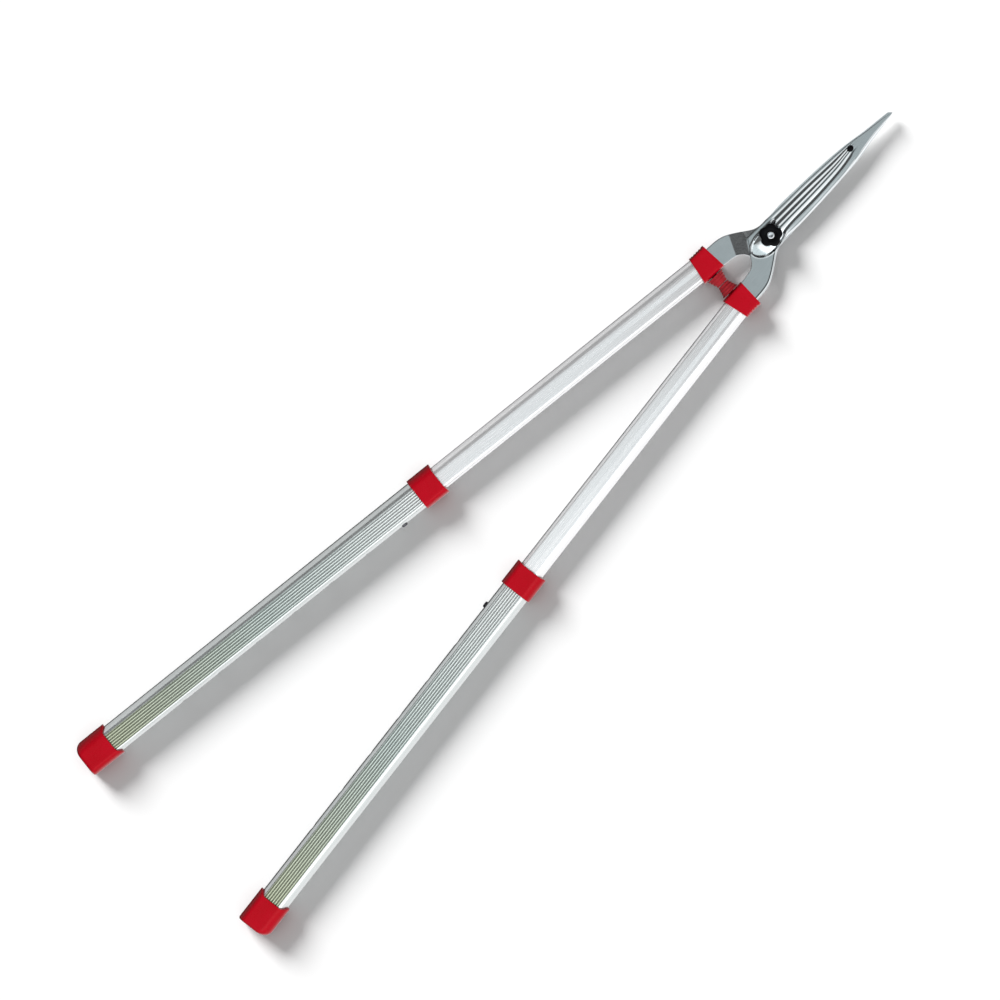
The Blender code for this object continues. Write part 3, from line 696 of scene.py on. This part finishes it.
def end_cap():
    """Closed cap with a big round on its outer corner and a small one inside."""
    bore = shrunk(OUTER_TUBE, -PLAY)
    inner_round, outer_round, flat_round = 2.5, 11.0, 4.0
    warp = eared(6.0, CAP_MOUTH + 1, CAP_MOUTH + 22)
    mouth = [(*bore, OUTER_REAR + PLAY, 0, 0), (*bore, CAP_MOUTH, 0, 0),
             (*CAP, CAP_MOUTH, 0, 0), (*CAP, CAP_MOUTH + 6, 0, 0)]
    rings = sleeve_rings(mouth, (0, 0.5, 0.9, 0), warp, closed=False)

    def taken_off(rest, radius):
        into = max(0.0, radius - rest)
        return radius - math.sqrt(max(0.0, radius * radius - into * into))
    turn = np.radians(np.linspace(0, 90, 22)[1:])
    section = oval(*CAP)
    for rest in (*np.linspace(28, 12, 9), *(12 - 12 * np.sin(turn))):
        s = CAP_END - rest
        inward = 1 - taken_off(rest, inner_round) / (CAP[0] / 2)
        outward = 1 - taken_off(rest, outer_round) / (CAP[0] / 2)
        level = 1 - taken_off(rest, flat_round) / (CAP[1] / 2)
        y = section[:, 0] * np.where(section[:, 0] > 0, inward, outward)
        ring = np.column_stack([np.full(len(y), -s), y, section[:, 1] * level])
        rings.append(warp(ring, CAP[0], s))
    return loft(rings)


def snap_button():
    """Button with a foot inside the tube, pointing to the other handle."""
    profile = rounded([(0.02, 9.3), (4.8, 9.3), (4.8, 10.3), (3.8, 10.3), (3.8, 16.6),
                       (2.9, 18.2), (0.02, 18.3)], (0, 0.2, 0.2, 0.1, 1.2, 1.2, 0), steps=8)
    bm = turned([(r, -y) for r, y in profile], 64)
    return transformed(bm, Matrix.Rotation(math.pi / 2, 4, "X"))


def button_spring():
    """Leaf spring bent like a hairpin, from the button to the tube's other side."""
    middle = smooth_curve([(-668, 8.55), (-655, 8.55), (-640, 8.0), (-628, 5.6), (-622, 0),
                           (-628, -5.6), (-640, -8.2), (-656, -9.8), (-672, -10.8)], 10)
    way = np.gradient(middle, axis=0)
    way /= np.linalg.norm(way, axis=1)[:, None]
    normal = np.column_stack([-way[:, 1], way[:, 0]])
    strip = rounded([(-3.5, -0.35), (3.5, -0.35), (3.5, 0.35), (-3.5, 0.35)], 0.25, True)
    return loft([[(*(point + out * t), z) for z, t in strip]
                 for point, out in zip(middle, normal)])


def guide_plug():
    """Guide on the inner tube's hidden end, with a stem in the tube."""
    stem = shrunk(INNER_TUBE, INNER_WALL + PLAY)
    flange = shrunk(OUTER_TUBE, OUTER_WALL + PLAY)
    bore = (18.0, 8.0, 12.0, 2.1)
    rim = INNER_REAR + PLAY
    corners = [(*stem, GUIDE_FRONT, 0, 0), (*stem, rim, 0, 0), (*flange, rim, 0, 0),
               (*flange, GUIDE_REAR, 0, 0), (*bore, GUIDE_REAR, 0, 0),
               (*bore, GUIDE_FRONT, 0, 0)]
    return sleeve(corners, (0.6, 0, 0.5, 0.5, 0.5, 0.5))


def tube(size, wall, start, end, grooved=False):
    inside_size = shrunk(size, wall)
    corners = [(*size, start, 0, 0), (*size, end, 0, 0), (*inside_size, end, 0, 0),
               (*inside_size, start, 0, 0)]
    return sleeve(corners, 0.25, grooved=grooved, steps=2)


def handle(studio, number):
    tag = "_" + str(number)
    axis = studio.axis[number]
    half = ("lower_half", "upper_half")[number - 1]
    grip = "grip" + tag
    studio.piece("ferrule_fine" + tag, ferrule(), axis, half, ["ferrule" + tag],
                 "red_plastic")
    studio.piece("bumper_fine" + tag, bumper(), studio.side[number] @ moved(-BUMPER_AT), half,
                 ["bumper" + tag], "red_rubber")
    holes = [rod(BUTTON_HOLE, (-BUTTON_AT, 8, 0), (-BUTTON_AT, 20, 0)),
             rod(PIN_RADIUS, (-PIN_AT, 0, -20), (-PIN_AT, 0, 20))]
    studio.piece("inner_tube_fine" + tag, tube(INNER_TUBE, INNER_WALL, INNER_FRONT, INNER_REAR),
                 axis, half, ["inner_tube" + tag], "inner_aluminium", holes)
    studio.piece("guide_plug_fine" + tag, guide_plug(), axis, half, ["guide_plug" + tag],
                 "sleeve_plastic")
    # the snap button wears near-black steel: painted shade for its chrome's dark reflections
    studio.piece("snap_button_fine" + tag, snap_button(), axis @ moved(-BUTTON_AT),
                 "button" + tag, ["snap_button" + tag], "pivot_steel", look="painted_shade_button_steel")
    studio.piece("button_spring_fine" + tag, button_spring(), axis, half,
                 ["button_spring" + tag], "spring_steel")
    locks = [-BUTTON_AT - i * LOCK_PITCH for i in range(LOCK_COUNT)]
    holes = [rod(BUTTON_HOLE, (x, 10, 0), (x, 20, 0)) for x in locks]
    studio.piece("outer_tube_fine" + tag,
                 tube(OUTER_TUBE, OUTER_WALL, OUTER_FRONT, OUTER_REAR, True), axis, grip,
                 ["outer_tube" + tag], "outer_aluminium", holes, 60)
    studio.piece("collar_fine" + tag, collar(), axis, grip, ["collar" + tag], "red_plastic")
    studio.piece("end_cap_fine" + tag, end_cap(), axis, grip, ["end_cap" + tag],
                 "red_plastic")


# ------------------------------------------------------------------------ materials

def node(tree, kind, inputs=None, **settings):
    """A shader node with its settings; an input is a value or another node's socket."""
    made = tree.nodes.new(kind)
    for key, value in settings.items():
        setattr(made, key, value)
    for key, value in (inputs or {}).items():
        if isinstance(value, bpy.types.NodeSocket):
            tree.links.new(value, made.inputs[key])
        else:
            made.inputs[key].default_value = value
    return made


def grain(tree, scale, detail, stretch):
    """Noise value on the piece's own coordinates, with a scale for each axis."""
    coords = node(tree, "ShaderNodeAttribute", attribute_name=LOCAL).outputs["Vector"]
    mapping = node(tree, "ShaderNodeMapping", {"Vector": coords, "Scale": stretch})
    return node(tree, "ShaderNodeTexNoise",
                {"Vector": mapping.outputs["Vector"], "Scale": scale, "Detail": detail,
                 "Roughness": 0.6}).outputs["Fac"]


def maths(tree, operation, *values):
    """Result of a maths node; a value is a number or another node's socket."""
    return node(tree, "ShaderNodeMath", dict(enumerate(values)), operation=operation).outputs[0]


def spread_of(tree, value, low, high, to_low, to_high):
    """The value's place between low and high, spread from to_low to to_high."""
    return node(tree, "ShaderNodeMapRange",
                {"Value": value, "From Min": low, "From Max": high, "To Min": to_low,
                 "To Max": to_high}).outputs["Result"]


def colour_ramp(tree, factor, *stops):
    """Colour that runs through the stops, each a position and a colour."""
    ramp = node(tree, "ShaderNodeValToRGB", {"Fac": factor})
    elements = ramp.color_ramp.elements
    for position, _ in stops[1:-1]:
        elements.new(position)
    for element, (position, colour) in zip(elements, stops):
        element.position = position
        element.color = (*colour, 1)
    return ramp.outputs["Color"]


def local_place(tree):
    """X, Y and Z of the place that a point of the piece was drawn at, in metres."""
    place = node(tree, "ShaderNodeAttribute", attribute_name=LOCAL).outputs["Vector"]
    return node(tree, "ShaderNodeSeparateXYZ", {"Vector": place}).outputs


def scaled(tree, colour, factor):
    return node(tree, "ShaderNodeVectorMath", {0: colour, "Scale": factor},
                operation="SCALE").outputs["Vector"]


def finish(name, dark, light, rough, metallic, fine, broad, bump, painted_light=None, **constant):
    """Material with fine and broad grain in colour and roughness, and a light bump.

    fine and broad are (scale, detail, stretch); rough is a pair; bump is in metres.
    Where a function for painted light and shade is given, it turns the grain's colour into the
    final one.
    Any other name is an input of the shader, with its constant value.
    """
    material = bpy.data.materials.new(name)
    material.use_nodes = True
    tree = material.node_tree
    shader = tree.nodes["Principled BSDF"]
    small = grain(tree, *fine)
    large = grain(tree, *broad)
    blend = spread_of(tree, maths(tree, "ADD", small, large), 0.7, 1.3, 0.0, 1.0)
    colour = colour_ramp(tree, blend, (0, dark), (1, light))
    if painted_light:
        colour = painted_light(tree, colour)
    tree.links.new(colour, shader.inputs["Base Color"])
    tree.links.new(spread_of(tree, small, 0.3, 0.7, *rough), shader.inputs["Roughness"])
    shader.inputs["Metallic"].default_value = metallic
    height = node(tree, "ShaderNodeBump", {"Height": small, "Distance": bump, "Strength": 1.0})
    tree.links.new(height.outputs["Normal"], shader.inputs["Normal"])
    for key, value in constant.items():
        shader.inputs[key.replace("_", " ")].default_value = value
    return material


def grip_tone(tree, colour):
    """Painted light on the grip tubes' flat zone: a painted reflection from cool grey at the
    collar to olive at the cap, and painted shade in the grooves.
    """
    place = local_place(tree)
    along = spread_of(tree, place["X"], -CAP_MOUTH * MM, -COLLAR_REAR * MM, 0, 1)
    _, height, flat, shift = (value * MM for value in OUTER_TUBE)
    depth = maths(tree, "SUBTRACT", height / 2, maths(tree, "ABSOLUTE", place["Z"]))
    across = maths(tree, "ABSOLUTE", maths(tree, "SUBTRACT", place["Y"], shift))
    in_flat = maths(tree, "LESS_THAN", across, flat / 2 + 0.1 * MM)
    # painted reflection: a tint along the flat zone, none on the rounded sides
    painted_reflection_drift = maths(tree, "MAXIMUM", along, maths(tree, "SUBTRACT", 1.0, in_flat))
    painted_reflection_drift = colour_ramp(tree, painted_reflection_drift, (0, (0.62, 0.65, 0.48)), (0.5, (0.72, 0.78, 0.75)),
                        (1, (1.0, 1.0, 1.0)))
    # painted shade: the groove bottoms are darkened, more towards the cap
    painted_groove_shade = spread_of(tree, depth, 0.1 * MM, 0.5 * MM, 0.0, 1.0)
    painted_groove_shade = maths(tree, "MULTIPLY", painted_groove_shade, spread_of(tree, along, 0.2, 1.0, 0.36, 0.05))
    painted_groove_shade = maths(tree, "SUBTRACT", 1.0, maths(tree, "MULTIPLY", painted_groove_shade, in_flat))
    toned = node(tree, "ShaderNodeVectorMath", {0: colour, 1: painted_reflection_drift}, operation="MULTIPLY")
    return scaled(tree, toned.outputs["Vector"], painted_groove_shade)


def steel_tone(tree, colour):
    """Painted highlight: the ground bevels and edges are made brighter than the pressed faces.
    """
    level = local_place(tree)["Z"]
    # painted highlight: up to 1.8 times brighter where the blade lies between about 0.3 and 2.1
    # mm up
    ground = maths(tree, "MULTIPLY", spread_of(tree, level, 2.2 * MM, 2.0 * MM, 0.0, 1.0),
                   spread_of(tree, level, 0.25 * MM, 0.35 * MM, 0.0, 1.0))
    return scaled(tree, colour, spread_of(tree, ground, 0.0, 1.0, 1.0, 1.8))


def make_materials():
    """The material of each slot, and the near-black steel of the snap buttons, whose dark
    colour is painted shade for the dark reflections of their chrome.
    """
    even = (1, 1, 1)
    turned_metal = ((900, 3, even), (90, 2, even), 0.000004)
    drawn_metal = ((2200, 3, (0.02, 1, 1)), (12, 3, (0.3, 1, 1)))
    plain, broader = (1500, 4, even), (60, 2, even)
    matt = (1300, 4, even)
    return {
        "blade_steel": finish("blade_steel_look", (0.41, 0.43, 0.44), (0.48, 0.50, 0.51),
                              (0.12, 0.17), 1.0, (1800, 3, (0.06, 1, 1)), (25, 3, even),
                              0.000006, steel_tone),
        "pivot_steel": finish("pivot_steel_look", (0.66, 0.67, 0.70), (0.76, 0.77, 0.79),
                              (0.10, 0.18), 1.0, *turned_metal),
        # painted shade: near-black colour stands in for the dark reflections of the chrome
        # button
        "painted_shade_button_steel": finish("button_steel_look", (0.07, 0.07, 0.08), (0.12, 0.12, 0.13),
                               (0.10, 0.18), 1.0, *turned_metal),
        "spring_steel": finish("spring_steel_look", (0.36, 0.37, 0.40), (0.48, 0.49, 0.51),
                               (0.24, 0.36), 1.0, *turned_metal),
        "brass": finish("brass_look", (0.62, 0.45, 0.18), (0.76, 0.58, 0.27),
                        (0.20, 0.32), 1.0, *turned_metal),
        "outer_aluminium": finish("outer_aluminium_look", (0.60, 0.63, 0.63),
                                  (0.72, 0.75, 0.75), (0.20, 0.28), 0.85, *drawn_metal,
                                  0.000005, grip_tone),
        "inner_aluminium": finish("inner_aluminium_look", (0.82, 0.82, 0.83),
                                  (0.90, 0.90, 0.91), (0.20, 0.30), 0.7, *drawn_metal,
                                  0.000004),
        "red_plastic": finish("red_plastic_look", (0.35, 0.0002, 0.006),
                              (0.41, 0.0004, 0.010), (0.24, 0.36), 0.0, plain,
                              (40, 2, even), 0.00001, Specular_IOR_Level=0.15),
        "red_rubber": finish("red_rubber_look", (0.22, 0.001, 0.006), (0.29, 0.002, 0.009),
                             (0.48, 0.62), 0.0, matt, broader, 0.00003),
        "black_plastic": finish("black_plastic_look", (0.002, 0.002, 0.002),
                                (0.004, 0.004, 0.005), (0.16, 0.26), 0.0, plain, broader,
                                0.00001, Specular_IOR_Level=0.06),
        "sleeve_plastic": finish("sleeve_plastic_look", (0.05, 0.05, 0.053),
                                 (0.07, 0.07, 0.075), (0.42, 0.56), 0.0, matt, broader,
                                 0.00002),
    }


def finish_cad_nodes(frame, materials):
    """Carried-over CAD nodes get the detailed material of their slot."""
    slots = {part["node"]: part["material_slot"] for part in frame["record"]["subparts"]}
    for name, obj in frame["nodes"].items():
        if not obj.hide_render:
            mark_local(obj.data)
            obj.data.materials.clear()
            obj.data.materials.append(materials[slots[name]])


# --------------------------------------------------------------------------- studio

# The camera's lens, in millimetres, and the view's width, centre and axes, in metres
CAMERA_LENS = 300
SENSOR_WIDTH = 36
VIEW_WIDTH = 1.065
VIEW_AT = Vector((-0.0377, 0.0069, 0.0135))
VIEW_RIGHT = Vector((0.7029, -0.7113, 0))
VIEW_UP = Vector((0.7113, 0.7029, 0))
FLOOR_REACH = 6.0
# Suns: the side the light comes from, its energy and its angle in degrees
KEY_SUN = ((0.05, 1.0, 0.52), 5.0, 26)
FILL_SUN = ((-0.1, -0.8, 1.5), 3.0, 40)
# The mirrored room: its brightness by height, and the ways to its dark parts
CEILING_FROM = (0.965, 0.99)       # the ceiling begins between these heights
ROOM_CEILING = 0.86
CEILING_TINT = (0.88, 0.98, 1.0)
BRIGHT_ROOM = 1.9
LOW_ROOM = 1.08
FAR_ROOM = 0.72                    # share of it left on the +Y side
DARK_WALL = (-0.15, 0.99, 0.0)
DARK_WEDGE = (1.0, 0.0, 0.0)
DARK_SHARE = 0.1
EVEN_LIGHT = 0.42                  # the even light for all rays that aren't shiny
UNDER_LIGHT = 0.1                  # the same light from below the horizon


def mirrored_room(tree, way, up):
    """Brightness of the room that shiny pieces mirror.

    It is mid grey overhead and bright round it. It has a dark band part of the way down
    on the +Y side and a dark wedge on the +X side.
    """
    def towards(direction):
        return node(tree, "ShaderNodeVectorMath", {0: way, 1: direction},
                    operation="DOT_PRODUCT").outputs["Value"]
    lean = maths(tree, "SQRT", maths(tree, "SUBTRACT", 1.0, maths(tree, "MULTIPLY", up, up)))
    wedge = maths(tree, "SUBTRACT", towards(DARK_WEDGE), maths(tree, "MULTIPLY", lean, 0.5))
    wedge = maths(tree, "MULTIPLY", wedge, spread_of(tree, up, 0.6, 0.78, 0.0, 1.0))
    side = towards(DARK_WALL)
    wall = maths(tree, "MULTIPLY", side, spread_of(tree, side, 0.62, 0.76, 1.0, 0.0))
    dark = spread_of(tree, maths(tree, "MAXIMUM", wedge, wall), 0.05, 0.11, 1.0, DARK_SHARE)
    bright = maths(tree, "MULTIPLY", spread_of(tree, up, 0.5, 0.75, LOW_ROOM, BRIGHT_ROOM),
                   spread_of(tree, side, -0.3, 0.4, 1.0, FAR_ROOM))
    zenith = spread_of(tree, up, *CEILING_FROM, 0.0, 1.0)
    room = maths(tree, "ADD", maths(tree, "MULTIPLY", zenith, ROOM_CEILING),
                 maths(tree, "MULTIPLY", maths(tree, "SUBTRACT", 1.0, zenith), bright))
    return maths(tree, "MULTIPLY", room, dark)


def set_world():
    """A room for the shiny rays to mirror, and a plain even light for all the rest."""
    world = bpy.data.worlds.new("studio")
    bpy.context.scene.world = world
    world.use_nodes = True
    tree = world.node_tree
    way = node(tree, "ShaderNodeTexCoord").outputs["Generated"]
    up = node(tree, "ShaderNodeSeparateXYZ", {"Vector": way}).outputs["Z"]
    paths = node(tree, "ShaderNodeLightPath").outputs
    shiny = maths(tree, "MULTIPLY", paths["Is Glossy Ray"], mirrored_room(tree, way, up))
    even = maths(tree, "MAXIMUM", paths["Is Camera Ray"],
                 spread_of(tree, up, -0.1, 0.2, UNDER_LIGHT, EVEN_LIGHT))
    even = maths(tree, "MULTIPLY", maths(tree, "SUBTRACT", 1.0, paths["Is Glossy Ray"]), even)
    back = tree.nodes["Background"]
    tint = colour_ramp(tree, up, (0.96, (1, 1, 1)), (0.99, CEILING_TINT))
    tree.links.new(tint, back.inputs["Color"])
    tree.links.new(maths(tree, "ADD", shiny, even), back.inputs["Strength"])


def soft_sun(name, sun, lit):
    """Wide soft light from one side that shines on the given objects only."""
    way, energy, angle = sun
    light = bpy.data.lights.new(name, "SUN")
    light.energy = energy
    light.angle = math.radians(angle)
    obj = bpy.data.objects.new(name, light)
    bpy.context.scene.collection.objects.link(obj)
    obj.visible_glossy = False
    obj.rotation_euler = Vector(way).to_track_quat("Z", "Y").to_euler()
    receivers = bpy.data.collections.new(name + "_receivers")
    for each in lit:
        receivers.objects.link(each)
    obj.light_linking.receiver_collection = receivers


def set_floor():
    """Plain pale floor that neither lights the pieces nor shows in them."""
    corners = [(x * FLOOR_REACH, y * FLOOR_REACH, 0)
               for x, y in ((-1, -1), (1, -1), (1, 1), (-1, 1))]
    mesh = bpy.data.meshes.new("floor")
    mesh.from_pydata(corners, [], [(0, 1, 2, 3)])
    floor = bpy.data.objects.new("floor", mesh)
    bpy.context.scene.collection.objects.link(floor)
    material = bpy.data.materials.new("floor")
    material.use_nodes = True
    shader = material.node_tree.nodes["Principled BSDF"]
    shader.inputs["Base Color"].default_value = (0.93, 0.93, 0.93, 1)
    shader.inputs["Roughness"].default_value = 0.9
    shader.inputs["Specular IOR Level"].default_value = 0.0
    mesh.materials.append(material)
    floor.visible_glossy = False
    floor.visible_diffuse = False
    return floor


def set_camera():
    """Camera straight above the tool, turned as in the photo."""
    camera = bpy.data.cameras.new("camera")
    camera.lens = CAMERA_LENS
    camera.sensor_width = SENSOR_WIDTH
    camera.clip_end = 50
    obj = bpy.data.objects.new("camera", camera)
    bpy.context.scene.collection.objects.link(obj)
    distance_up = VIEW_WIDTH * CAMERA_LENS / SENSOR_WIDTH
    back = VIEW_RIGHT.cross(VIEW_UP).normalized()
    turn = Matrix((VIEW_RIGHT.normalized(), VIEW_UP.normalized(), back)).transposed()
    obj.matrix_world = Matrix.Translation(VIEW_AT + back * distance_up) @ turn.to_4x4()
    bpy.context.scene.camera = obj


def studio_set():
    floor = set_floor()
    set_world()
    pieces = [obj for obj in bpy.context.scene.objects
              if obj.type == "MESH" and obj is not floor and not obj.hide_render]
    soft_sun("key", KEY_SUN, [floor])
    soft_sun("fill", FILL_SUN, pieces)
    set_camera()
    bpy.context.scene.view_settings.view_transform = "Standard"


def main():
    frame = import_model()
    studio = Studio(frame)
    studio.materials = make_materials()
    blades(studio)
    pivot_stack(studio)
    for number in (1, 2):
        handle(studio, number)
    finish_cad_nodes(frame, studio.materials)
    studio_set()


main()
